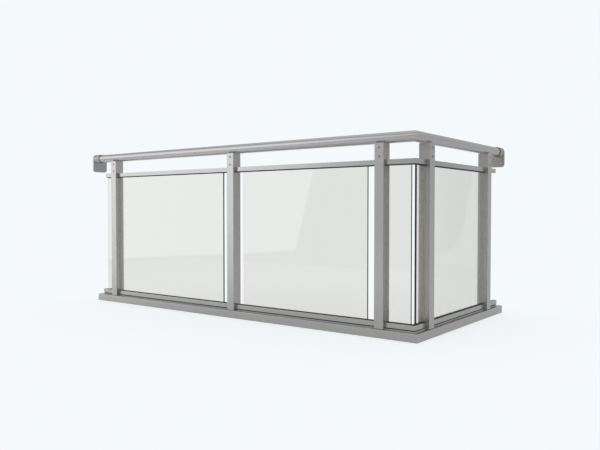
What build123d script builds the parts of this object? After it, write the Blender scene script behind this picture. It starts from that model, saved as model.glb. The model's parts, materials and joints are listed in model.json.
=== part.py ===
from build123d import *
import os

# L-shaped balcony railing with glass panes. All sizes are in millimetres.
# Two sides meet at an outer corner. A place on a side is given by its distance from that corner
# along the side, by how far inward it lies from the outer face of the base, and by its height.

# Overall
railing_height = 980
long_length = 2375
short_length = 1110
wall_gap_long = 62
wall_gap_short = 42

# Base rails
base_width = 72
base_height = 42
base_wall = 3
base_edge = 1.5
base_cap = 2.5
plug_depth = 12
plug_wall = 2
cleat_arm = 110
cleat_thickness = 6

# Posts. The corner posts are placed from the corner and the end posts from the ends of the base.
# The middle post stands between them, a little nearer to the corner.
long_corner_setback = 208
short_corner_setback = 165
long_end_setback = 160
short_end_setback = 197
middle_post_shift = 43.5
post_width = 50
post_depth = 60
post_wall = 3
post_edge = 1.5
cope_depth = 3

# Foot of a post
pad_thickness = 2
foot_plate_thickness = 7
bolt_diameter = 8
bolt_head_width = 13
bolt_head_height = 5.5
bolt_access = 20

# Floor anchors
anchor_hole = 11
anchor_access = 22
anchor_setback = 150
anchor_counts = {"long": 4, "short": 2}

# Handrail
handrail_diameter = 52
handrail_wall = 2.5
sleeve_wall = 3
sleeve_arm = 90

# Saddle bracket in the top of a post, and its screws
saddle_flange = 4
saddle_seat = 6
saddle_height = 73
screw_drop = 22
screw_gap = 43
screw_diameter = 5
screw_length = 12
screw_head = 10
screw_head_height = 2.4
screw_head_edge = 1
screw_socket = 4
screw_socket_depth = 1.5

# Wall brackets
bracket_width = 104
bracket_drop = 87.5
bracket_thickness = 12
bracket_corner = 18
bracket_margin = 0.8
bracket_hole = 7
bracket_sink = 14
bracket_hole_gap = 55
bracket_hole_rise = 22.5
collar_wall = 3
collar_length = 50
socket_depth = 38
ring_width = 3
ring_height = 2.4

# Glass rails
rail_width = 24
rail_height = 24
rail_wall = 2.5
rail_edge = 0.8
channel_depth = 15
bottom_rail_gap = 9.5
top_rail_drop = 128.5
top_rail_inset = 56
bottom_rail_inset = 26
rail_cap = 2
rail_plug = 8
bed_width = 18

# Glass and gaskets
glass_thickness = 10
gasket_floor = 3
top_lip = 5
bottom_lip = 3
glass_seal = 2
pane_gap = 52
long_glass_inset = 65
short_glass_inset = 115
pane_corner_setback = 50

# Clearances
fit = 0.2
bore_play = 0.1
packer_recess = 1

# Places worked out from the sizes above
corner_x = (long_length + wall_gap_long) / 2
corner_y = -(short_length + wall_gap_short) / 2
centre = base_width / 2
handrail_radius = handrail_diameter / 2
handrail_axis = railing_height - handrail_radius
collar_radius = handrail_radius + fit + collar_wall
bracket_radius = collar_radius + bracket_margin
long_end_post = long_length - long_end_setback
long_middle_post = (long_end_post + long_corner_setback) / 2 - middle_post_shift
short_end_post = short_length - short_end_setback
post_front = centre - post_depth / 2
post_inside = post_front + post_wall
post_foot = base_height + pad_thickness
post_top = handrail_axis - handrail_radius + cope_depth
screw_heights = (post_top - screw_drop - screw_gap, post_top - screw_drop)
rail_front = centre - rail_width / 2
rail_back = centre + rail_width / 2
chamber_height = rail_height - channel_depth - 2 * rail_wall
bottom_rail = base_height + bottom_rail_gap
top_rail = railing_height - top_rail_drop - rail_height
bottom_window = (bottom_rail - fit, bottom_rail + rail_height + bottom_lip + fit)
top_window = (top_rail - top_lip - fit, top_rail + rail_height + fit)
glass_bottom = bottom_rail + rail_height - channel_depth + gasket_floor
glass_top = top_rail + channel_depth - gasket_floor

pane_reach = post_width / 2 + glass_seal
gap_reach = post_width / 2 + pane_gap

lengths = {"long": long_length, "short": short_length}
wall_gaps = {"long": wall_gap_long, "short": wall_gap_short}
glass_insets = {"long": long_glass_inset, "short": short_glass_inset}
rail_insets = {"bottom": bottom_rail_inset, "top": top_rail_inset}

# Each post: its side, its distance from the corner, and the side walls that glass stands against.
# A wall is +1 where it faces away from the corner and -1 where it faces the corner.
posts = {
    "long_end": ("long", long_end_post, (-1, 1)),
    "long_middle": ("long", long_middle_post, ()),
    "long_corner": ("long", long_corner_setback, (-1,)),
    "short_corner": ("short", short_corner_setback, (-1, 1)),
    "short_end": ("short", short_end_post, (-1, 1)),
}

# Each pane: its side and the distances where it starts and ends
panes = {
    "long_end": ("long", long_middle_post + gap_reach, long_end_post - pane_reach),
    "long_middle": ("long", long_corner_setback + gap_reach, long_middle_post - gap_reach),
    "long_corner": ("long", pane_corner_setback, long_corner_setback - pane_reach),
    "short_corner": ("short", pane_corner_setback, short_corner_setback - pane_reach),
    "short_end": ("short", short_corner_setback + pane_reach, short_end_post - pane_reach),
}

# The narrow strips of glass beyond the end posts
strips = {
    "long": (long_end_post + pane_reach, long_length - long_glass_inset),
    "short": (short_end_post + pane_reach, short_length - short_glass_inset),
}

inward_axis = {"long": (0, 1, 0), "short": (-1, 0, 0)}
outward_axis = {"long": (0, -1, 0), "short": (1, 0, 0)}
corner_axis = {"long": (1, 0, 0), "short": (0, -1, 0)}
section_axis = {"long": (1, 0, 0), "short": (0, 1, 0)}
away = {"long": -1, "short": 1}
mitre_plane = Plane(origin=(corner_x, corner_y, 0), x_dir=(-1, 1, 0), z_dir=(1, 1, 0))
mitre_keep = {"long": Keep.BOTTOM, "short": Keep.TOP}


def point(side, along, inward, height=0):
    if side == "long":
        return (corner_x - along, corner_y + inward, height)
    return (corner_x - inward, corner_y + along, height)


def footprint(side, along_size, inward_size):
    if side == "long":
        return (along_size, inward_size)
    return (inward_size, along_size)


# An upright plane across a side. Its x runs inward and its y runs up.
def section(side, along):
    return Plane(point(side, along, 0), x_dir=inward_axis[side], z_dir=section_axis[side])


# A rectangle in a section, given by its limits
def block(inward_from, inward_to, height_from, height_to, mode=Mode.ADD):
    with Locations(((inward_from + inward_to) / 2, (height_from + height_to) / 2)):
        Rectangle(inward_to - inward_from, height_to - height_from, mode=mode)


def save(piece, name):
    piece.part.label = name
    export_step(piece.part, f"parts/{name}.step")


def post_points(side):
    return [point(side, along, centre) for where, along, walls in posts.values() if where == side]


# Anchors are spaced evenly between the outermost posts of a side.
def anchor_points(side):
    along = [distance for where, distance, walls in posts.values() if where == side]
    first = min(along) + anchor_setback
    step = (max(along) - anchor_setback - first) / (anchor_counts[side] - 1)
    return [point(side, first + i * step, centre) for i in range(anchor_counts[side])]


def base_rail(side):
    with BuildPart() as piece:
        with BuildSketch(section(side, 0)):
            block(0, base_width, 0, base_height)
            fillet(vertices(), base_edge)
            block(base_wall, base_width - base_wall, base_wall, base_height - base_wall, Mode.SUBTRACT)
        extrude(amount=away[side] * (lengths[side] - base_cap))
        split(bisect_by=mitre_plane, keep=mitre_keep[side])
        # The foot bolts go in from below, and the floor anchors from above.
        with BuildSketch():
            with Locations(*anchor_points(side)):
                Circle(anchor_hole / 2)
            with Locations(*post_points(side)):
                Circle(bolt_access / 2)
        extrude(amount=base_wall, mode=Mode.SUBTRACT)
        with BuildSketch(Plane.XY.offset(base_height)):
            with Locations(*anchor_points(side)):
                Circle(anchor_access / 2)
            with Locations(*post_points(side)):
                Circle(bolt_diameter / 2 + fit)
        extrude(amount=-base_wall, mode=Mode.SUBTRACT)
    save(piece, f"base_rail_{side}")


def base_end_cap(side):
    inset = base_wall + fit
    inner = inset + plug_wall
    with BuildPart() as piece:
        with BuildSketch(section(side, lengths[side])):
            block(0, base_width, 0, base_height)
            fillet(vertices(), base_edge)
        extrude(amount=-away[side] * base_cap)
        with BuildSketch(section(side, lengths[side] - base_cap)):
            block(inset, base_width - inset, inset, base_height - inset)
            block(inner, base_width - inner, inner, base_height - inner, Mode.SUBTRACT)
        extrude(amount=-away[side] * plug_depth)
    save(piece, f"base_end_cap_{side}")


# An angle that stands against the inner faces of the two outer walls at the corner
def base_corner_cleat():
    inner = base_wall + cleat_thickness
    arm_end = base_wall + cleat_arm
    outline = [
        point("long", base_wall, base_wall),
        point("long", arm_end, base_wall),
        point("long", arm_end, inner),
        point("long", inner, inner),
        point("short", arm_end, inner),
        point("short", arm_end, base_wall),
    ]
    with BuildPart() as piece:
        with BuildSketch(Plane.XY.offset(base_wall)):
            with BuildLine():
                Polyline(outline, close=True)
            make_face()
        extrude(amount=base_height - 2 * base_wall - fit)
    save(piece, "base_corner_cleat")


# The handrail's round, cut away from what seats under it
def cope(side, along):
    with BuildSketch(section(side, along)) as round_seat:
        with Locations((centre, handrail_axis)):
            Circle(handrail_radius)
    extrude(round_seat.sketch, amount=post_width, both=True, mode=Mode.SUBTRACT)


# Holes for the saddle screws, through the walls that face outward
def screw_planes(side, along):
    return [
        Plane(point(side, along, post_front, height), z_dir=outward_axis[side])
        for height in screw_heights
    ]


def screw_holes(side, along, depth):
    with BuildSketch(*screw_planes(side, along)) as holes:
        Circle(screw_diameter / 2 + bore_play)
    extrude(holes.sketch, amount=-depth, mode=Mode.SUBTRACT)


def post(name, side, along):
    with BuildPart() as piece:
        with BuildSketch(Plane.XY.offset(post_foot)):
            with Locations(point(side, along, centre)):
                RectangleRounded(*footprint(side, post_width, post_depth), post_edge)
                Rectangle(
                    *footprint(side, post_width - 2 * post_wall, post_depth - 2 * post_wall),
                    mode=Mode.SUBTRACT,
                )
        extrude(amount=post_top - post_foot)
        cope(side, along)
        # Windows in both side walls for the rails
        with BuildSketch(section(side, along)):
            block(post_inside, rail_back + fit, *bottom_window)
            block(post_inside, rail_back + fit, *top_window)
        extrude(amount=post_width / 2, both=True, mode=Mode.SUBTRACT)
        screw_holes(side, along, post_wall)
    save(piece, f"post_{name}")


# Strips of rubber between the side walls and the ends of the glass
def glass_seals():
    reach = post_width / 2 + glass_seal / 2
    with BuildPart() as piece:
        with BuildSketch(Plane.XY.offset(glass_bottom)):
            for side, along, walls in posts.values():
                for wall in walls:
                    with Locations(point(side, along + wall * reach, centre)):
                        Rectangle(*footprint(side, glass_seal, glass_thickness))
        extrude(amount=glass_top - glass_bottom)
    save(piece, "glass_seals")


# Packers fill the windows between the front wall and the rails.
def rail_packers(name, side, along):
    with BuildPart() as piece:
        with BuildSketch(section(side, along)):
            block(post_inside, rail_front, bottom_window[0] + fit, bottom_window[1] - fit)
            block(post_inside, rail_front, top_window[0] + fit, top_window[1] - fit)
        extrude(amount=post_width / 2 - packer_recess, both=True)
    save(piece, f"rail_packers_{name}")


def foot_pad(name, side, along):
    with BuildPart() as piece:
        with BuildSketch(Plane.XY.offset(base_height)):
            with Locations(point(side, along, centre)):
                Rectangle(*footprint(side, post_width, post_depth))
                Circle(bolt_diameter / 2 + fit, mode=Mode.SUBTRACT)
        extrude(amount=pad_thickness)
    save(piece, f"foot_pad_{name}")


def foot_plate(name, side, along):
    with BuildPart() as piece:
        with BuildSketch(Plane.XY.offset(post_foot)):
            with Locations(point(side, along, centre)):
                Rectangle(*footprint(side, post_width - 2 * post_wall, post_depth - 2 * post_wall))
                Circle(bolt_diameter / 2 + bore_play, mode=Mode.SUBTRACT)
        extrude(amount=foot_plate_thickness)
    save(piece, f"foot_plate_{name}")


def foot_bolts():
    under_wall = base_height - base_wall
    with BuildPart() as piece:
        with BuildSketch(Plane.XY.offset(under_wall)):
            with Locations(*post_points("long"), *post_points("short")):
                RegularPolygon(bolt_head_width / 2, 6, major_radius=False)
        extrude(amount=-bolt_head_height)
        with BuildSketch(Plane.XY.offset(under_wall)):
            with Locations(*post_points("long"), *post_points("short")):
                Circle(bolt_diameter / 2)
        extrude(amount=post_foot + foot_plate_thickness - under_wall)
    save(piece, "foot_bolts")


# An inverted channel that the two screws hold in the post, with a round seat for the handrail
def saddle(name, side, along):
    outer = post_inside + fit
    inner = outer + saddle_flange
    with BuildPart() as piece:
        with BuildSketch(section(side, along)):
            block(outer, base_width - outer, post_top - saddle_height, post_top)
            block(
                inner,
                base_width - inner,
                post_top - saddle_height,
                post_top - cope_depth - saddle_seat,
                Mode.SUBTRACT,
            )
        extrude(amount=post_width / 2 - post_wall - fit, both=True)
        cope(side, along)
        screw_holes(side, along, inner - post_front)
    save(piece, f"saddle_{name}")


def saddle_screws():
    places = [plane for side, along, walls in posts.values() for plane in screw_planes(side, along)]
    with BuildPart() as piece:
        with BuildSketch(*places):
            Circle(screw_head / 2)
        extrude(amount=screw_head_height)
        crowns = edges().filter_by(GeomType.CIRCLE).filter_by(
            lambda edge: any(
                abs(plane.to_local_coords(edge.arc_center).Z - screw_head_height) < fit
                and plane.to_local_coords(edge.arc_center).length < screw_head
                for plane in places
            )
        )
        fillet(crowns, screw_head_edge)
        with BuildSketch(*[plane.offset(screw_head_height) for plane in places]):
            RegularPolygon(screw_socket / 2, 6, major_radius=False)
        extrude(amount=-screw_socket_depth, mode=Mode.SUBTRACT)
        with BuildSketch(*places):
            Circle(screw_diameter / 2)
        extrude(amount=-screw_length)
    save(piece, "saddle_screws")


def bracket_face(side):
    return lengths[side] + wall_gaps[side] - bracket_thickness


def collar_mouth(side):
    return bracket_face(side) - collar_length


def handrail(side):
    with BuildPart() as piece:
        with BuildSketch(section(side, 0)):
            with Locations((centre, handrail_axis)):
                Circle(handrail_radius)
                Circle(handrail_radius - handrail_wall, mode=Mode.SUBTRACT)
        extrude(amount=away[side] * (collar_mouth(side) + socket_depth))
        split(bisect_by=mitre_plane, keep=mitre_keep[side])
    save(piece, f"handrail_{side}")


def sleeve_half(side):
    outer = handrail_radius - handrail_wall - fit
    with BuildPart() as piece:
        with BuildSketch(section(side, 0)):
            with Locations((centre, handrail_axis)):
                Circle(outer)
                Circle(outer - sleeve_wall, mode=Mode.SUBTRACT)
        extrude(amount=away[side] * (centre + sleeve_arm))
        split(bisect_by=mitre_plane, keep=mitre_keep[side])
    return piece.part


def handrail_sleeve():
    halves = [sleeve_half(side) for side in lengths]
    with BuildPart() as piece:
        add(halves)
    save(piece, "handrail_sleeve")


def handrail_ring(side):
    with BuildPart() as piece:
        with BuildSketch(section(side, collar_mouth(side))):
            with Locations((centre, handrail_axis)):
                Circle(handrail_radius + ring_height)
                Circle(handrail_radius, mode=Mode.SUBTRACT)
        extrude(amount=-away[side] * ring_width)
    save(piece, f"handrail_ring_{side}")


# A plate on the wall with a collar. One corner of the plate is concentric with the collar.
def wall_bracket(side):
    face = bracket_face(side)
    left = centre - bracket_radius
    right = left + bracket_width
    bottom = handrail_axis - bracket_drop
    top = handrail_axis + bracket_radius
    with BuildPart() as piece:
        with BuildSketch(section(side, face)):
            block(left, right, bottom, top)
            fillet(vertices().sort_by_distance((left, top))[0], bracket_radius)
            fillet(vertices().sort_by_distance((left, top))[2:], bracket_corner)
        extrude(amount=away[side] * bracket_thickness)
        with BuildSketch(section(side, collar_mouth(side))):
            with Locations((centre, handrail_axis)):
                Circle(collar_radius)
        extrude(amount=away[side] * collar_length)
        with BuildSketch(section(side, collar_mouth(side))):
            with Locations((centre, handrail_axis)):
                Circle(handrail_radius + fit)
        extrude(amount=away[side] * socket_depth, mode=Mode.SUBTRACT)
        holes = [
            Plane(
                point(side, face, (left + right + shift) / 2, bottom + bracket_hole_rise),
                z_dir=corner_axis[side],
            )
            for shift in (-bracket_hole_gap, bracket_hole_gap)
        ]
        with Locations(*holes):
            CounterSinkHole(bracket_hole / 2, bracket_sink / 2)
    save(piece, f"wall_bracket_{side}")


# A glass rail is a channel with a closed chamber behind it. The bottom rail opens upward and the
# top rail opens downward.
def rail_heights(level):
    if level == "bottom":
        return (bottom_rail, 1)
    return (top_rail + rail_height, -1)


def glass_rail(level, side):
    back, up = rail_heights(level)
    chamber = back + up * rail_wall
    web = back + up * (rail_height - channel_depth)
    mouth = back + up * rail_height
    with BuildPart() as piece:
        with BuildSketch(section(side, 0)):
            block(rail_front, rail_back, *sorted((back, mouth)))
            fillet(vertices(), rail_edge)
            block(
                rail_front + rail_wall,
                rail_back - rail_wall,
                *sorted((chamber, chamber + up * chamber_height)),
                Mode.SUBTRACT,
            )
            block(rail_front + rail_wall, rail_back - rail_wall, *sorted((web, mouth)), Mode.SUBTRACT)
        extrude(amount=away[side] * (lengths[side] - rail_insets[level] - rail_cap))
        split(bisect_by=mitre_plane, keep=mitre_keep[side])
    save(piece, f"{level}_rail_{side}")


# The cap has a plug in the chamber and a bar that fills the channel up to the glass.
def rail_end_cap(level, side):
    back, up = rail_heights(level)
    chamber = back + up * rail_wall
    web = back + up * (rail_height - channel_depth)
    end = lengths[side] - rail_insets[level]
    bar = glass_insets[side] - rail_insets[level] - rail_cap
    with BuildPart() as piece:
        with BuildSketch(section(side, end)):
            block(rail_front, rail_back, *sorted((back, back + up * rail_height)))
            fillet(vertices(), rail_edge)
        extrude(amount=-away[side] * rail_cap)
        with BuildSketch(section(side, end - rail_cap)):
            block(
                rail_front + rail_wall + fit,
                rail_back - rail_wall - fit,
                *sorted((chamber + up * fit, chamber + up * (chamber_height - fit))),
            )
        extrude(amount=-away[side] * rail_plug)
        with BuildSketch(section(side, end - rail_cap)):
            block(
                rail_front + rail_wall + fit,
                rail_back - rail_wall - fit,
                *sorted((web + up * fit, back + up * rail_height)),
            )
        extrude(amount=-away[side] * bar)
    save(piece, f"{level}_rail_cap_{side}")


# A channel of rubber that lines the rail and grips the glass
def gasket(level, side):
    back, up = rail_heights(level)
    lip = {"bottom": bottom_lip, "top": top_lip}[level]
    web = back + up * (rail_height - channel_depth)
    floor = web + up * gasket_floor
    edge = back + up * (rail_height + lip)
    with BuildPart() as piece:
        with BuildSketch(section(side, 0)):
            block(rail_front + rail_wall, rail_back - rail_wall, *sorted((web, edge)))
            block(
                centre - glass_thickness / 2,
                centre + glass_thickness / 2,
                *sorted((floor, edge)),
                Mode.SUBTRACT,
            )
        extrude(amount=away[side] * (lengths[side] - glass_insets[side]))
        split(bisect_by=mitre_plane, keep=mitre_keep[side])
    save(piece, f"{level}_gasket_{side}")


# Rubber strips on the base, between the posts, that the bottom rails lie on
def rail_bed():
    start = centre - bed_width / 2
    with BuildPart() as piece:
        with BuildSketch(Plane.XY.offset(base_height)):
            for side, length in lengths.items():
                run = length - bottom_rail_inset - rail_cap - start
                with Locations(point(side, start + run / 2, centre)):
                    Rectangle(*footprint(side, run, bed_width))
            for side, along, walls in posts.values():
                with Locations(point(side, along, centre)):
                    Rectangle(*footprint(side, post_width, post_depth), mode=Mode.SUBTRACT)
        extrude(amount=bottom_rail_gap)
    save(piece, "rail_bed")


def glass(name, pieces):
    with BuildPart() as piece:
        with BuildSketch(Plane.XY.offset(glass_bottom)):
            for side, start, end in pieces:
                with Locations(point(side, (start + end) / 2, centre)):
                    Rectangle(*footprint(side, end - start, glass_thickness))
        extrude(amount=glass_top - glass_bottom)
    save(piece, name)


os.makedirs("parts", exist_ok=True)

for side in lengths:
    base_rail(side)
    base_end_cap(side)
    handrail(side)
    handrail_ring(side)
    wall_bracket(side)
    for level in rail_insets:
        glass_rail(level, side)
        rail_end_cap(level, side)
        gasket(level, side)

for name, (side, along, walls) in posts.items():
    post(name, side, along)
    foot_pad(name, side, along)
    foot_plate(name, side, along)
    saddle(name, side, along)
    rail_packers(name, side, along)

for name, pane in panes.items():
    glass(f"glass_pane_{name}", [pane])
glass("glass_strips", [(side, start, end) for side, (start, end) in strips.items()])
glass_seals()
rail_bed()
base_corner_cleat()
handrail_sleeve()
foot_bolts()
saddle_screws()
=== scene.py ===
import json
import math

import bmesh
import bpy
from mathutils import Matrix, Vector


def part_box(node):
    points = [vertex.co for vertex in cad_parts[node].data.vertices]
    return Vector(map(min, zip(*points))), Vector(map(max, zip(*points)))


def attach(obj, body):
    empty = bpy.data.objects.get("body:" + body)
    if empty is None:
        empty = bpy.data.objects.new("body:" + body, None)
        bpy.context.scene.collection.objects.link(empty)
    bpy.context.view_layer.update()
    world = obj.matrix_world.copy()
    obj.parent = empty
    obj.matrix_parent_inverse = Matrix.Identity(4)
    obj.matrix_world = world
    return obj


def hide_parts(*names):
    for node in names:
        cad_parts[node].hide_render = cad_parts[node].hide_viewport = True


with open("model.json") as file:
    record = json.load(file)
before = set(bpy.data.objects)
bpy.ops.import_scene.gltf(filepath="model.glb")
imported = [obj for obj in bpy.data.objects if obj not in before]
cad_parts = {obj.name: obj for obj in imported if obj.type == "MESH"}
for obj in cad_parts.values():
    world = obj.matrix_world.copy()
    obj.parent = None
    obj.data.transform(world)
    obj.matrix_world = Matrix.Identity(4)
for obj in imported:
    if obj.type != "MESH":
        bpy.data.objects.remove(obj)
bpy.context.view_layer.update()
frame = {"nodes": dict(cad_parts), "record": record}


# Aluminium balcony railing with glass panes, dressed around the imported solids.
# Everything is in metres. The long side runs along X and the short side along Y.

# How far the normal of a rounded edge turns from the face, where the pale edge begins and where it is
# full
edgeValues = {"samples": 4, "faint": 0.002, "full": 0.05}


# A wrapped socket. Sums and products on it add Math nodes to its finish.
class Value:
    def __init__(self, finish, socket):
        self.finish = finish
        self.socket = socket

    def __add__(self, other):
        return self.finish.math("ADD", self, other)

    def __radd__(self, other):
        return self.finish.math("ADD", other, self)

    def __sub__(self, other):
        return self.finish.math("SUBTRACT", self, other)

    def __rsub__(self, other):
        return self.finish.math("SUBTRACT", other, self)

    def __mul__(self, other):
        return self.finish.math("MULTIPLY", self, other)

    def __truediv__(self, other):
        return self.finish.math("DIVIDE", self, other)

    # A noise taken about its middle, and scaled
    def swing(self, amount):
        return (self - 0.5) * amount


# A node tree under construction: a material, or the world
class Finish:
    def __init__(self, block):
        self.block = block
        block.use_nodes = True
        self.tree = block.node_tree
        self.tree.nodes.clear()

    # Adds one node with its settings and what its sockets hold. Gives back one output.
    def node(self, kind, settings=None, sockets=None, output=0):
        made = self.tree.nodes.new(kind)
        for key, setting in (settings or {}).items():
            setattr(made, key, setting)
        for key, held in (sockets or {}).items():
            if isinstance(held, Value):
                self.tree.links.new(held.socket, made.inputs[key])
            else:
                made.inputs[key].default_value = held
        return None if output is None else Value(self, made.outputs[output])

    def math(self, operation, first, second=0.0):
        return self.node("ShaderNodeMath", {"operation": operation}, {0: first, 1: second})

    def dot(self, first, second):
        return self.node(
            "ShaderNodeVectorMath", {"operation": "DOT_PRODUCT"}, {0: first, 1: second}, output="Value"
        )

    # A noise, given by its scale, its detail and its roughness
    def noise(self, place, kind):
        scale, detail, roughness = kind
        return self.node(
            "ShaderNodeTexNoise",
            {"noise_dimensions": "3D"},
            {"Vector": place, "Scale": scale, "Detail": detail, "Roughness": roughness},
        )

    # A value turned from one range into 0 to 1, with soft ends
    def soften(self, held, low, high):
        return self.node(
            "ShaderNodeMapRange",
            {"interpolation_type": "SMOOTHSTEP", "clamp": True},
            {"Value": held, "From Min": low, "From Max": high},
        )

    # A Mix node for colours: they go in at sockets 6 and 7 and come out at 2
    def blend(self, share, first, second):
        return self.node(
            "ShaderNodeMix", {"data_type": "RGBA"}, {0: share, 6: first, 7: second}, output=2
        )

    # A grey that varies about a level
    def vary(self, share, level, variation, tint=(1.0, 1.0, 1.0)):
        deep, pale = level * (1 - variation), level * (1 + variation)
        return self.blend(share, grey(deep, tint), grey(pale, tint))

    # Object coordinates, stretched by a factor along each axis
    def place(self, scale=(1, 1, 1)):
        here = self.node("ShaderNodeTexCoord", output="Object")
        return self.node("ShaderNodeMapping", {}, {"Vector": here, "Scale": scale})

    def split(self, vector):
        parts = self.node("ShaderNodeSeparateXYZ", {}, {0: vector}).socket.node.outputs
        return [Value(self, part) for part in parts]

    # What kind of ray looks: 1 for a diffuse one, and 1 for a glossy one
    def rays(self):
        diffuse = self.node("ShaderNodeLightPath", output="Is Diffuse Ray")
        return diffuse, Value(self, diffuse.socket.node.outputs["Is Glossy Ray"])

    # 1 along the sharp edges of a piece and 0 on its faces
    def edges(self, radius):
        v = edgeValues
        rounded = self.node("ShaderNodeBevel", {"samples": v["samples"]}, {"Radius": radius})
        facing = self.node("ShaderNodeNewGeometry", output="Normal")
        return self.soften(1 - self.dot(rounded, facing), v["faint"], v["full"])

    # A bump, given by its strength and its distance
    def bump(self, height, relief):
        strength, distance = relief
        return self.node(
            "ShaderNodeBump", {}, {"Height": height, "Strength": strength, "Distance": distance}
        )

    def surface(self, colour, metal, roughness, normal=None):
        sockets = {"Base Color": colour, "Metallic": metal, "Roughness": roughness}
        if normal is not None:
            sockets["Normal"] = normal
        return self.node("ShaderNodeBsdfPrincipled", {}, sockets)

    def close(self, shader, kind="ShaderNodeOutputMaterial"):
        self.node(kind, {}, {"Surface": shader}, output=None)
        return self.block


def grey(level, tint=(1.0, 1.0, 1.0)):
    return (level * tint[0], level * tint[1], level * tint[2], 1.0)


# Satin aluminium, drawn along one axis: die lines, soft clouding, and paler edges, which are partly
# wear and partly a painted highlight of their rounding.
# An edge is given by its radius and its share.
satinValues = {
    "colour": 0.56,
    "tint": (1.025, 1.0, 0.955),
    "variation": 0.04,
    "metal": 0.75,
    "roughness": 0.24,
    "lines": (700.0, 3.0, 0.6),
    "lineStretch": 0.01,
    "clouds": (9.0, 4.0, 0.55),
    "grain": (1400.0, 2.0, 0.6),
    "cloudShare": 0.6,
    "lineShare": 0.25,
    "grainShare": 0.15,
    "edge": (0.0016, 0.25),
    # A stronger painted highlight on the edges, for the posts of the short side
    "strongEdgeHighlight": (0.0032, 0.6),
    "paleRim": 0.8,
    "lineGloss": 0.1,
    "cloudGloss": 0.08,
    "wornGloss": 0.04,
    "lineHeight": 0.6,
    "grainHeight": 0.4,
    "relief": (0.12, 0.00004),
}


def satinAluminium(name, along, strongEdgeHighlights=False):
    v = satinValues
    finish = Finish(bpy.data.materials.new(name))
    stretch = [1.0, 1.0, 1.0]
    stretch[along] = v["lineStretch"]
    lines = finish.noise(finish.place(stretch), v["lines"])
    clouds = finish.noise(finish.place(), v["clouds"])
    grain = finish.noise(finish.place(), v["grain"])
    # The pale edges are partly wear and partly a painted highlight of their rounding; the strong ones
    # of the short side are wholly a painted highlight.
    radius, share = v["strongEdgeHighlight"] if strongEdgeHighlights else v["edge"]
    paleRim = finish.edges(radius)
    mixed = clouds * v["cloudShare"] + lines * v["lineShare"] + grain * v["grainShare"]
    body = finish.vary(mixed, v["colour"], v["variation"], v["tint"])
    roughness = v["roughness"] + lines.swing(v["lineGloss"]) + clouds.swing(v["cloudGloss"])
    shader = finish.surface(
        finish.blend(paleRim * share, body, grey(v["paleRim"])),
        v["metal"],
        roughness - paleRim * v["wornGloss"],
        finish.bump(lines * v["lineHeight"] + grain * v["grainHeight"], v["relief"]),
    )
    return finish.close(shader)


# Cast and coated aluminium: orange peel, small pits, darker in its hollows
castValues = {
    "colour": 0.47,
    "tint": (1.035, 1.0, 0.97),
    "variation": 0.1,
    "metal": 0.8,
    "roughness": 0.34,
    "peel": (420.0, 3.0, 0.5),
    "patches": (26.0, 4.0, 0.6),
    "pitScale": 320.0,
    "pitRange": (0.25, 0.05),
    "pitShare": 0.12,
    "pitDarkness": 0.5,
    "pitDepth": 0.4,
    "edge": (0.0025, 0.3),
    "paleRim": 0.75,
    "peelGloss": 0.2,
    "wornGloss": 0.08,
    "relief": (0.4, 0.00025),
}


def castAluminium(name):
    v = castValues
    finish = Finish(bpy.data.materials.new(name))
    peel = finish.noise(finish.place(), v["peel"])
    patches = finish.noise(finish.place(), v["patches"])
    pits = finish.node(
        "ShaderNodeTexVoronoi", {"feature": "F1"}, {"Vector": finish.place(), "Scale": v["pitScale"]}
    )
    hollow = finish.soften(pits, *v["pitRange"])
    radius, share = v["edge"]
    paleRim = finish.edges(radius)
    body = finish.vary(patches, v["colour"], v["variation"], v["tint"])
    spotted = finish.blend(hollow * v["pitShare"], body, grey(v["colour"] * v["pitDarkness"]))
    shader = finish.surface(
        finish.blend(paleRim * share, spotted, grey(v["paleRim"])),
        v["metal"],
        v["roughness"] + peel.swing(v["peelGloss"]) - paleRim * v["wornGloss"],
        finish.bump(peel - hollow * v["pitDepth"], v["relief"]),
    )
    return finish.close(shader)


# Clear glass with a grey cast. The narrow end faces are nearly black from outside.
glassValues = {
    "tint": (0.922, 0.911, 0.889, 1.0),
    "index": 1.5,
    "sideRange": (-0.006, -0.002),
    "endRange": (0.4, 0.6),
    "innerEnd": 0.97,
    "smears": (7.0, 5.0, 0.6),
    "smearStretch": (1.0, 1.0, 0.35),
    "smearRange": (0.45, 0.85),
    "smearHaze": 0.012,
    "dust": (260.0, 4.0, 0.7),
    "dustRange": (0.6, 0.8),
    "dustHaze": 0.01,
    "mirror": (0.95, 0.96, 0.95, 1.0),
    "mirrorRoughness": 0.015,
    "rubbedRange": (0.4, 0.8),
    "rubbedGloss": 0.05,
    "waves": (1.6, 1.0, 0.5),
    "waveRelief": (0.1, 0.004),
    "endDark": (0.012, 0.016, 0.014, 1.0),
    "endPale": (0.03, 0.038, 0.034, 1.0),
    "endRoughness": 0.3,
    "endGloss": 0.2,
}


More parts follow.
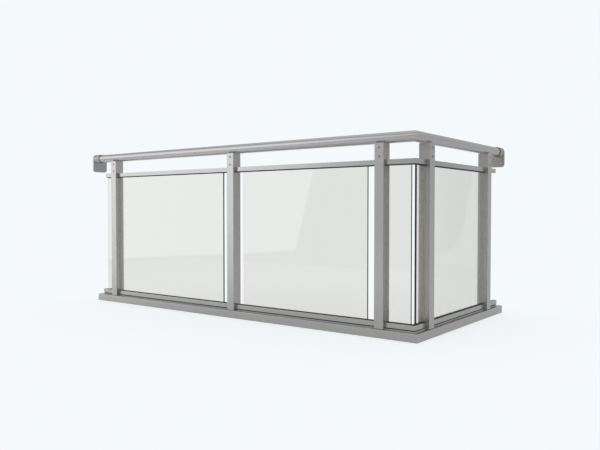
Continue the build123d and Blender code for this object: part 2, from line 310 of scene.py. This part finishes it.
def clearGlass(name):
    v = glassValues
    finish = Finish(bpy.data.materials.new(name))
    sides = finish.split(finish.node("ShaderNodeNewGeometry", output="Normal"))
    place = finish.split(finish.node("ShaderNodeTexCoord", output="Object"))
    acrossX, acrossY = [finish.math("ABSOLUTE", side) for side in sides[:2]]
    # Glass of the short side lies beyond all the glass of the long side.
    # The range between them is counted from its face.
    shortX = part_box("glass_pane_short_end")[0].x
    short = finish.soften(place[0], *[shortX + step for step in v["sideRange"]])
    flat = short * acrossX + (1 - short) * acrossY
    smears = finish.noise(finish.place(v["smearStretch"]), v["smears"])
    dust = finish.noise(finish.place(), v["dust"])
    # An end is clear from inside, and to the light that falls on the seal behind it.
    back = finish.node("ShaderNodeNewGeometry", output="Backfacing")
    diffuseRay = finish.rays()[0]
    end = (1 - finish.soften(flat, *v["endRange"])) * (1 - back * v["innerEnd"]) * (1 - diffuseRay)
    # The same mirror share on both faces of a pane: a back face takes the inverse.
    index = v["index"] - back * (v["index"] - 1 / v["index"])
    gloss = finish.node("ShaderNodeFresnel", {}, {"IOR": index})
    haze = (
        finish.soften(smears, *v["smearRange"]) * v["smearHaze"]
        + finish.soften(dust, *v["dustRange"]) * v["dustHaze"]
    )
    clear = finish.node("ShaderNodeBsdfTransparent", {}, {"Color": v["tint"]})
    mirror = finish.surface(
        v["mirror"],
        1.0,
        v["mirrorRoughness"] + finish.soften(smears, *v["rubbedRange"]) * v["rubbedGloss"],
        finish.bump(finish.noise(finish.place(), v["waves"]), v["waveRelief"]),
    )
    face = finish.node("ShaderNodeMixShader", {}, {0: gloss + haze, 1: clear, 2: mirror})
    edge = finish.surface(
        finish.blend(dust, v["endDark"], v["endPale"]), 0.0, v["endRoughness"] + dust * v["endGloss"]
    )
    shader = finish.node("ShaderNodeMixShader", {}, {0: end, 1: face, 2: edge})
    return finish.close(shader)


# Matte rubber and plastic, in one recipe. The rail bed is near-black rubber that also stands in for the
# shade under the bottom rail, and a pale band up to a height above its foot is partly settled dust and
# partly a painted highlight for the lit top of the base.
polymerValues = {
    "blackRubber": {"colour": 0.03, "roughness": 0.62, "peel": (700.0, 4.0, 0.6), "dustShare": 0.05},
    "greyRubber": {"colour": 0.62, "roughness": 0.62, "peel": (700.0, 4.0, 0.6), "dustShare": 0.05},
    "bedRubberAndShade": {
        "colour": 0.04,
        "roughness": 0.62,
        "peel": (700.0, 4.0, 0.6),
        "dustShare": 0.05,
        "dustAndLitBandHeight": 0.0036,
    },
    "darkPlastic": {"colour": 0.26, "roughness": 0.5, "peel": (1100.0, 4.0, 0.6), "dustShare": 0.03},
    "greyPlastic": {"colour": 0.36, "roughness": 0.5, "peel": (900.0, 4.0, 0.6), "dustShare": 0.04},
}
polymerRecipe = {
    "patches": (30.0, 4.0, 0.6),
    "variation": 0.18,
    "dustRange": (0.55, 0.8),
    "dust": 0.35,
    "dustAndLitBand": 0.75,
    "dustAndLitBandShare": 0.9,
    "dustAndLitBandFade": 0.001,
    "edge": (0.0012, 0.2),
    "wornGain": 2.2,
    "wornBase": 0.03,
    "peelGloss": 0.2,
    "relief": (0.3, 0.00015),
}


def mattePolymer(name):
    v = {**polymerRecipe, **polymerValues[name]}
    finish = Finish(bpy.data.materials.new(name))
    peel = finish.noise(finish.place(), v["peel"])
    patches = finish.noise(finish.place(), v["patches"])
    radius, share = v["edge"]
    paleRim = finish.edges(radius)
    body = finish.vary(patches, v["colour"], v["variation"])
    dusty = finish.blend(finish.soften(peel, *v["dustRange"]) * v["dustShare"], body, grey(v["dust"]))
    # The pale band at the foot of the rail bed: partly settled dust and partly a painted highlight for
    # the lit top of the base
    if "dustAndLitBandHeight" in v:
        height = finish.split(finish.node("ShaderNodeTexCoord", output="Object"))[2]
        ragged = height + patches.swing(v["dustAndLitBandFade"])
        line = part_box("rail_bed")[0].z + v["dustAndLitBandHeight"]
        dustAndLitBand = 1 - finish.soften(ragged, line - v["dustAndLitBandFade"], line + v["dustAndLitBandFade"])
        dusty = finish.blend(dustAndLitBand * v["dustAndLitBandShare"], dusty, grey(v["dustAndLitBand"]))
    shader = finish.surface(
        finish.blend(paleRim * share, dusty, grey(v["colour"] * v["wornGain"] + v["wornBase"])),
        0.0,
        v["roughness"] + peel.swing(v["peelGloss"]),
        finish.bump(peel, v["relief"]),
    )
    return finish.close(shader)


# Turned and brushed steel of the screws and bolts
steelValues = {
    "rings": (1800.0, 3.0, 0.6),
    "stain": (90.0, 4.0, 0.6),
    "stained": 0.3,
    "clean": 0.42,
    "edge": (0.0006, 0.4),
    "paleRim": 0.8,
    "roughness": 0.34,
    "ringGloss": 0.2,
    "relief": (0.3, 0.00004),
}


def screwSteel(name):
    v = steelValues
    finish = Finish(bpy.data.materials.new(name))
    rings = finish.noise(finish.place(), v["rings"])
    stain = finish.noise(finish.place(), v["stain"])
    radius, share = v["edge"]
    paleRim = finish.edges(radius)
    body = finish.blend(stain, grey(v["stained"]), grey(v["clean"]))
    shader = finish.surface(
        finish.blend(paleRim * share, body, grey(v["paleRim"])),
        1.0,
        v["roughness"] + rings.swing(v["ringGloss"]),
        finish.bump(rings, v["relief"]),
    )
    return finish.close(shader)


alongX = satinAluminium("satinAluminiumAlongX", 0)
alongY = satinAluminium("satinAluminiumAlongY", 1)
upright = satinAluminium("satinAluminiumUpright", 2)
# A copy with a stronger painted highlight on its edges, for the posts of the short side
uprightStrongHighlight = satinAluminium("satinAluminiumUprightStrongHighlight", 2, strongEdgeHighlights=True)
polymers = {name: mattePolymer(name) for name in polymerValues}
slotFinishes = {
    "cast_aluminium": castAluminium("castAluminium"),
    "clear_glass": clearGlass("clearGlass"),
    "black_rubber": polymers["blackRubber"],
    "grey_rubber": polymers["greyRubber"],
    "dark_plastic": polymers["darkPlastic"],
    "grey_plastic": polymers["greyPlastic"],
    "screw_steel": screwSteel("screwSteel"),
}
print("finishes made")


# Which finish each node takes, from its slot in the record and the way it runs
def finishFor(node, slot):
    short = "short" in node
    if slot == "satin_aluminium":
        if node.startswith(("post", "saddle", "foot_plate")):
            # Posts of the short side take the copy with a stronger painted edge highlight.
            return uprightStrongHighlight if short else upright
        return alongY if short else alongX
    # The rail bed takes near-black rubber, which also stands in for the shade under the bottom rail.
    if node == "rail_bed":
        return polymers["bedRubberAndShade"]
    return slotFinishes[slot]


for part in frame["record"]["subparts"]:
    node = part["node"]
    for slot in frame["nodes"][node].material_slots:
        slot.material = finishFor(node, part["material_slot"])
print("finishes given to", len(frame["nodes"]), "nodes")

# The outer corner of the base, where both sides meet on the mitre
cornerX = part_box("base_rail_long")[1].x
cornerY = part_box("base_rail_long")[0].y

# How near two places are to count as one, when corners and edges are picked
sameSpot = 0.00001


def editPiece(piece):
    bpy.ops.object.select_all(action="DESELECT")
    piece.select_set(True)
    bpy.context.view_layer.objects.active = piece
    bpy.ops.object.mode_set(mode="EDIT")


# Selects the faces or edges of the edited piece whose middle and corners pass a test
def pick(piece, kind, test):
    bpy.ops.mesh.select_mode(type=kind)
    bpy.ops.mesh.select_all(action="DESELECT")
    shape = bmesh.from_edit_mesh(piece.data)
    parts = shape.faces if kind == "FACE" else shape.edges
    for part in parts:
        corners = [corner.co for corner in part.verts]
        middle = sum(corners, Vector()) / len(corners)
        if test(middle, corners):
            part.select_set(True)
    bmesh.update_edit_mesh(piece.data)


# Adds an upright rectangle, turned about X or Z, with its size in its mesh, and begins to edit it
def addSection(centre, width, height, turn):
    bpy.ops.object.select_all(action="DESELECT")
    bpy.ops.mesh.primitive_plane_add(size=1, location=centre, rotation=turn)
    piece = bpy.context.object
    piece.scale = (width, height, 1)
    bpy.ops.object.transform_apply(location=True, rotation=True, scale=True)
    editPiece(piece)
    return piece


def outwardFaces():
    bpy.ops.mesh.select_all(action="SELECT")
    bpy.ops.mesh.normals_make_consistent(inside=False)


def closePiece(piece, name, node, slot, smoothAngle):
    bpy.ops.object.mode_set(mode="OBJECT")
    piece.name = name
    piece.data.name = name
    bpy.ops.object.select_all(action="DESELECT")
    piece.select_set(True)
    bpy.context.view_layer.objects.active = piece
    bpy.ops.object.transform_apply(location=True, rotation=True, scale=True)
    bpy.ops.object.shade_smooth_by_angle(angle=math.radians(smoothAngle))
    piece.data.materials.clear()
    piece.data.materials.append(slotFinishes[slot])
    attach(piece, "root")
    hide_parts(node)


# Gaskets: a U of rubber in each glass rail, with rounded lips against the glass
gasketValues = {
    "lipRound": 0.0016,
    "lipSegments": 3,
    "floor": 0.003,
    "mitreSpare": 0.001,
    "smoothAngle": 35,
}


def modelGasket(level, side):
    v = gasketValues
    node = f"{level}_gasket_{side}"
    low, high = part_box(node)
    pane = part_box(f"glass_pane_{side}_end")
    run, across = (0, 1) if side == "long" else (1, 0)
    bottom = level == "bottom"
    mouth, floor = (high.z, low.z + v["floor"]) if bottom else (low.z, high.z - v["floor"])
    centre = (low + high) / 2
    centre[run] = low[run]
    wide, tall = high[across] - low[across], high.z - low.z
    if side == "long":
        piece = addSection(centre, tall, wide, (0, math.radians(90), 0))
    else:
        piece = addSection(centre, wide, tall, (math.radians(90), 0, 0))
    for glassFace in (pane[0][across], pane[1][across]):
        bpy.ops.mesh.select_all(action="SELECT")
        cut = Vector(centre)
        cut[across] = glassFace
        normal = [0, 0, 0]
        normal[across] = 1
        bpy.ops.mesh.bisect(plane_co=cut, plane_no=normal)
    bpy.ops.mesh.select_all(action="SELECT")
    bpy.ops.mesh.bisect(plane_co=(centre.x, centre.y, floor), plane_no=(0, 0, 1))

    # The glass stands in the middle, from the floor of the U to its mouth.
    def inGlass(middle, corners):
        beyond = middle.z > floor if bottom else middle.z < floor
        return beyond and pane[0][across] < middle[across] < pane[1][across]

    pick(piece, "FACE", inGlass)
    bpy.ops.mesh.delete(type="FACE")
    bpy.ops.mesh.select_all(action="SELECT")
    length = [0, 0, 0]
    length[run] = high[run] - low[run]
    if side == "long":
        length[run] += v["mitreSpare"]
    bpy.ops.mesh.extrude_region_move(TRANSFORM_OT_translate={"value": length})
    outwardFaces()

    # The outer corner of each lip is rounded along the whole run.
    def lipCorner(middle, corners):
        onMouth = all(abs(corner.z - mouth) < sameSpot for corner in corners)
        outer = all(
            min(abs(corner[across] - low[across]), abs(corner[across] - high[across])) < sameSpot
            for corner in corners
        )
        return onMouth and outer and abs(corners[0][run] - corners[1][run]) > wide

    pick(piece, "EDGE", lipCorner)
    bpy.ops.mesh.bevel(offset=v["lipRound"], segments=v["lipSegments"])
    bpy.ops.mesh.select_all(action="SELECT")
    bpy.ops.mesh.bisect(
        plane_co=(cornerX, cornerY, 0),
        plane_no=(1, 1, 0),
        use_fill=True,
        clear_outer=side == "long",
        clear_inner=side == "short",
    )
    closePiece(piece, f"gasket_{level}_{side}", node, "black_rubber", v["smoothAngle"])


for level in ("bottom", "top"):
    for side in ("long", "short"):
        modelGasket(level, side)
print("gaskets modelled")

# Rings: a rounded trim around the handrail at the mouth of each wall collar
ringValues = {"steps": 96, "round": 0.0011, "segments": 3, "weld": 0.00002, "smoothAngle": 35}


def modelRing(side):
    v = ringValues
    node = f"handrail_ring_{side}"
    low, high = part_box(node)
    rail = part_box(f"handrail_{side}")
    run = 0 if side == "long" else 1
    centre = (low + high) / 2
    inner = (rail[1].z - rail[0].z) / 2
    outer = (high.z - low.z) / 2
    middle = Vector(centre)
    middle.z += (inner + outer) / 2
    turn = (math.radians(90), 0, 0) if side == "long" else (math.radians(90), 0, math.radians(90))
    piece = addSection(middle, high[run] - low[run], outer - inner, turn)
    crown = centre.z + outer

    # The edge of the section that will be the outside of the ring
    def outerEdge(middle, corners):
        return all(abs(corner.z - crown) < sameSpot for corner in corners)

    pick(piece, "EDGE", outerEdge)
    bpy.ops.mesh.bevel(offset=v["round"], segments=v["segments"], affect="VERTICES")
    bpy.ops.mesh.select_all(action="SELECT")
    axis = [0, 0, 0]
    axis[run] = 1
    bpy.ops.mesh.spin(steps=v["steps"], angle=math.radians(360), center=centre, axis=axis)
    bpy.ops.mesh.select_all(action="SELECT")
    bpy.ops.mesh.remove_doubles(threshold=v["weld"])
    outwardFaces()
    closePiece(piece, f"ring_{side}", node, "black_rubber", v["smoothAngle"])


for side in ("long", "short"):
    modelRing(side)
print("rings modelled")

# Caps, cast brackets and glass seals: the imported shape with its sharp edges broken.
# The seals are set back a little from the glass ends.
softValues = {
    "base_end_cap": {"round": 0.0007, "setBack": 0.0, "slot": "grey_plastic"},
    "bottom_rail_cap": {"round": 0.0005, "setBack": 0.0, "slot": "grey_plastic"},
    "top_rail_cap": {"round": 0.0005, "setBack": 0.0, "slot": "grey_plastic"},
    "wall_bracket": {"round": 0.0014, "setBack": 0.0, "slot": "cast_aluminium"},
    "glass_seals": {"round": 0.0003, "setBack": 0.0002, "slot": "grey_rubber"},
}
breakValues = {"weld": 0.00001, "flatAngle": 0.5, "sharpAngle": 40, "segments": 3, "smoothAngle": 30}


def breakEdges(node, kind):
    v = {**breakValues, **softValues[kind]}
    name = f"soft_{node}"
    piece = bpy.data.objects.new(name, frame["nodes"][node].data.copy())
    bpy.context.scene.collection.objects.link(piece)
    editPiece(piece)
    bpy.ops.mesh.select_all(action="SELECT")
    bpy.ops.mesh.remove_doubles(threshold=v["weld"])
    bpy.ops.mesh.dissolve_limited(angle_limit=math.radians(v["flatAngle"]))
    bpy.ops.mesh.select_all(action="SELECT")
    bpy.ops.mesh.quads_convert_to_tris(quad_method="BEAUTY", ngon_method="BEAUTY")
    outwardFaces()
    if v["setBack"]:
        bpy.ops.transform.shrink_fatten(value=-v["setBack"], use_even_offset=True)
    bpy.ops.object.mode_set(mode="OBJECT")
    bevel = piece.modifiers.new("brokenEdges", "BEVEL")
    bevel.width = v["round"]
    bevel.segments = v["segments"]
    bevel.limit_method = "ANGLE"
    bevel.angle_limit = math.radians(v["sharpAngle"])
    bpy.ops.object.modifier_apply(modifier=bevel.name)
    closePiece(piece, name, node, v["slot"], v["smoothAngle"])


for node in list(frame["nodes"]):
    kind = node.removesuffix("_long").removesuffix("_short")
    if kind in softValues:
        breakEdges(node, kind)
print("caps, brackets and seals finished")

# Camera at the photograph's place
cameraValues = {
    "place": (2.5487, -3.2507, 0.6189),
    "turn": 36.801,
    "tilt": -1.468,
    "roll": -0.015,
    "lens": 38.709,
    "sensor": 36.0,
    "reach": 200.0,
    "photoWidth": 600,
    "photoHeight": 450,
}


def addCamera():
    v = cameraValues
    data = bpy.data.cameras.new("photoCamera")
    data.sensor_width = v["sensor"]
    data.lens = v["lens"]
    data.clip_end = v["reach"]
    camera = bpy.data.objects.new("photoCamera", data)
    camera.location = v["place"]
    camera.rotation_euler = [math.radians(angle) for angle in (90 + v["tilt"], v["roll"], v["turn"])]
    bpy.context.scene.collection.objects.link(camera)
    bpy.context.scene.camera = camera


addCamera()

# A faint soft light from the left, beside the surroundings, which do nearly all of the lighting
keyLightValues = {
    "place": (-4.2, -3.4, 1.5),
    "target": (-0.6, -0.57, 0.62),
    "width": 1.6,
    "height": 1.0,
    "power": 0.01,
    "spread": 36.0,
}


def addKeyLight():
    v = keyLightValues
    data = bpy.data.lights.new("keyLeft", "AREA")
    data.shape = "RECTANGLE"
    data.size = v["width"]
    data.size_y = v["height"]
    data.energy = v["power"]
    data.spread = math.radians(v["spread"])
    light = bpy.data.objects.new("keyLeft", data)
    light.location = v["place"]
    direction = Vector(v["target"]) - Vector(v["place"])
    light.rotation_euler = direction.to_track_quat("-Z", "Y").to_euler()
    light.visible_camera = False
    bpy.context.scene.collection.objects.link(light)
    return light


keyLight = addKeyLight()

# The pale surroundings, which light the part. Where they are seen themselves, they are even.
# What shines in the part has a bright panel on the left, which the long panes mirror, and a dark one
# on the right, which the short pane mirrors. Each of the two is given by pixels of the photograph where
# its lower, its right and its left edge cross the glass, and by one pixel inside it.
surroundValues = {
    "seen": (0.913, 0.947, 0.973, 1.0),
    "diffuseStrength": 0.66,
    "glossStrength": 0.56,
    "softness": 0.0015,
    "topSoftness": 0.1,
}
glassPanels = {
    "bright": {
        "side": "long",
        "strength": 1.0,
        "inside": (200, 200),
        "right": ((313.75, 170.5), (295.0, 250.5)),
        "lower": ((295.0, 250.5), (124.5, 258.75)),
        "left": ((-80.0, 100.0), (-80.0, 300.0)),
        "leftSoftness": 0.06,
        "top": 0.56,
        "corner": 0.001,
    },
    "dark": {
        "side": "short",
        "strength": -0.22,
        "inside": (455, 200),
        "right": ((472.5, 172.5), (462.5, 230.0)),
        "lower": ((452.0, 253.5), (430.0, 254.0)),
        "left": ((446.0, 100.0), (446.0, 300.0)),
        "leftSoftness": 0.024,
        "top": 0.14,
        "corner": 0.03,
    },
}
# Round panels with soft edges, as they shine in the part: the way to each, the cosines where it begins
# and where it is full, and its strength, which is below zero for a dark one
roundPanels = {
    "overhead": ((-0.35, 0.2, 0.915), (0.87, 0.955), 0.29),
    "rightSide": ((0.682, 0.731, 0.0), (0.9863, 0.9962), -0.14),
    "back": ((0.375, 0.927, 0.0), (0.9914, 0.9981), 0.08),
    "front": ((-0.38, -0.915, 0.13), (0.9925, 0.9981), -0.35),
    "backHigh": ((0.5, 0.86, 0.12), (0.9962, 0.999), -0.25),
}


# The direction that the glass of a side mirrors at a pixel of the photograph
def mirrored(pixel, side):
    v = cameraValues
    far = v["lens"] / v["sensor"] * v["photoWidth"]
    ray = Vector((pixel[0] - v["photoWidth"] / 2, v["photoHeight"] / 2 - pixel[1], -far)).normalized()
    turned = bpy.context.scene.camera.rotation_euler.to_matrix() @ ray
    across = 1 if side == "long" else 0
    turned[across] = -turned[across]
    return turned


def addSurround():
    v = surroundValues
    world = bpy.data.worlds.new("studio")
    bpy.context.scene.world = world
    world.cycles.sampling_method = "NONE"
    finish = Finish(world)
    toward = finish.node("ShaderNodeTexCoord", output="Generated")
    height = finish.split(toward)[2]

    # 1 on a panel: its right and lower edges are sharp and meet in a round, and the others fade
    def glassPanel(panel):
        # How far a direction lies beyond the edge through two mirrored pixels
        def beyond(edge):
            first, second = [mirrored(pixel, panel["side"]) for pixel in panel[edge]]
            normal = first.cross(second).normalized()
            if normal.dot(mirrored(panel["inside"], panel["side"])) > 0:
                normal = -normal
            return finish.dot(toward, normal)

        corner, end, fade = panel["corner"], panel["top"], v["topSoftness"]
        wide = finish.math("MAXIMUM", beyond("right") + corner, 0.0)
        tall = finish.math("MAXIMUM", beyond("lower") + corner, 0.0)
        reach = finish.math("SQRT", wide * wide + tall * tall)
        near = 1 - finish.soften(reach - corner, -v["softness"], v["softness"])
        left = 1 - finish.soften(beyond("left"), 0.0, panel["leftSoftness"])
        top = 1 - finish.soften(height, end - fade, end + fade)
        return near * left * top

    gloss = v["glossStrength"]
    for panel in glassPanels.values():
        gloss = gloss + glassPanel(panel) * panel["strength"]
    for middle, reach, strength in roundPanels.values():
        inline = finish.dot(toward, Vector(middle).normalized())
        gloss = gloss + finish.soften(inline, *reach) * strength
    diffuseRay, glossyRay = finish.rays()
    strength = 1 + diffuseRay * (v["diffuseStrength"] - 1) + glossyRay * (gloss - 1)
    shader = finish.node("ShaderNodeBackground", {}, {"Color": v["seen"], "Strength": strength})
    finish.close(shader, "ShaderNodeOutputWorld")


addSurround()

# The floor: matte paper near the part, which takes its soft shadow, and the surroundings further off.
# evenness is how bright the bare paper is beside the surroundings, and its glow makes up the rest.
floorValues = {
    "half": 3.5,
    "drop": 0.0005,
    "colour": 0.82,
    "paper": (60.0, 3.0, 0.5),
    "variation": 0.01,
    "near": 1.2,
    "far": 3.3,
    "share": 0.7,
    "evenness": 0.525,
    "diffuseLevel": 0.7,
    "glossLevel": 0.58,
    "leftToward": (-0.8, -0.6, 0.0),
    "leftRange": (0.3, 2.0),
    "leftGain": 0.25,
}


def addFloor():
    v = floorValues
    bpy.ops.object.select_all(action="DESELECT")
    bpy.ops.mesh.primitive_plane_add(size=v["half"] * 2, location=(0, 0, -v["drop"]))
    floor = bpy.context.object
    floor.name = "studioFloor"
    finish = Finish(bpy.data.materials.new("studioFloor"))
    here = finish.node("ShaderNodeTexCoord", output="Object")
    away = finish.node("ShaderNodeVectorMath", {"operation": "LENGTH"}, {0: here}, output="Value")
    share = (1 - finish.soften(away, v["near"], v["far"])) * v["share"]
    paper = finish.vary(finish.noise(here, v["paper"]), v["colour"], v["variation"])
    matte = finish.node("ShaderNodeBsdfDiffuse", {}, {"Color": paper})
    # The part is lit by a dimmer floor than the one that is seen. What shines is brighter on the left.
    diffuseRay, glossyRay = finish.rays()
    leftward = finish.soften(finish.dot(here, v["leftToward"]), *v["leftRange"])
    glossLevel = v["glossLevel"] + leftward * v["leftGain"]
    level = 1 + diffuseRay * (v["diffuseLevel"] - 1) + glossyRay * (glossLevel - 1)
    strength = (level - share * v["evenness"]) / (1 - share)
    glow = finish.node(
        "ShaderNodeEmission", {}, {"Color": surroundValues["seen"], "Strength": strength}
    )
    shader = finish.node("ShaderNodeMixShader", {}, {0: share, 1: glow, 2: matte})
    material = finish.close(shader)
    material.cycles.emission_sampling = "NONE"
    floor.data.materials.append(material)
    # The light doesn't fall on the floor, so that it stays as even as the surroundings.
    unlit = bpy.data.collections.new("unlitFloor")
    unlit.objects.link(floor)
    unlit.collection_objects[0].light_linking.link_state = "EXCLUDE"
    keyLight.light_linking.receiver_collection = unlit


addFloor()

view = bpy.context.scene.view_settings
view.view_transform = "Standard"
view.look = "None"
print("camera, light, surroundings and floor set")
